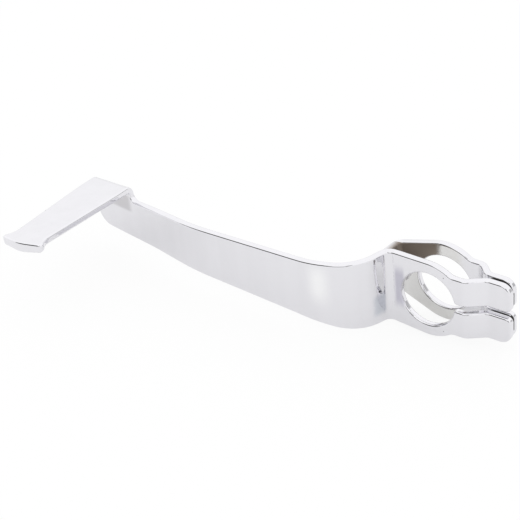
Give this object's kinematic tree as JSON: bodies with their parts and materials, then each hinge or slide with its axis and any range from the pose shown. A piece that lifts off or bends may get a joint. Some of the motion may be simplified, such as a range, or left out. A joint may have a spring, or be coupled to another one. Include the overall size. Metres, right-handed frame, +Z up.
{
  "type": "motorcycle gear shift lever",
  "caption": "Chromed sheet-steel foot gear lever: tapered blade with an S-bend, a folded pedal tab with a fishtail end, and a split plate clamp for the shift shaft.",
  "frame": {"origin": "centre of the shaft bore, midway between the clamp plates", "axes": "+X along the lever from the pedal to the clamp's tips, +Y along the shaft bore towards the engine, +Z up across the strip"},
  "size_m": [0.1654, 0.0702, 0.0309],
  "materials": {
    "chrome": "bright polished chrome plate"
  },
  "bodies": {
    "root": {"lever_strip": "chrome", "clamp_plate": "chrome"}
  },
  "joints": []
}
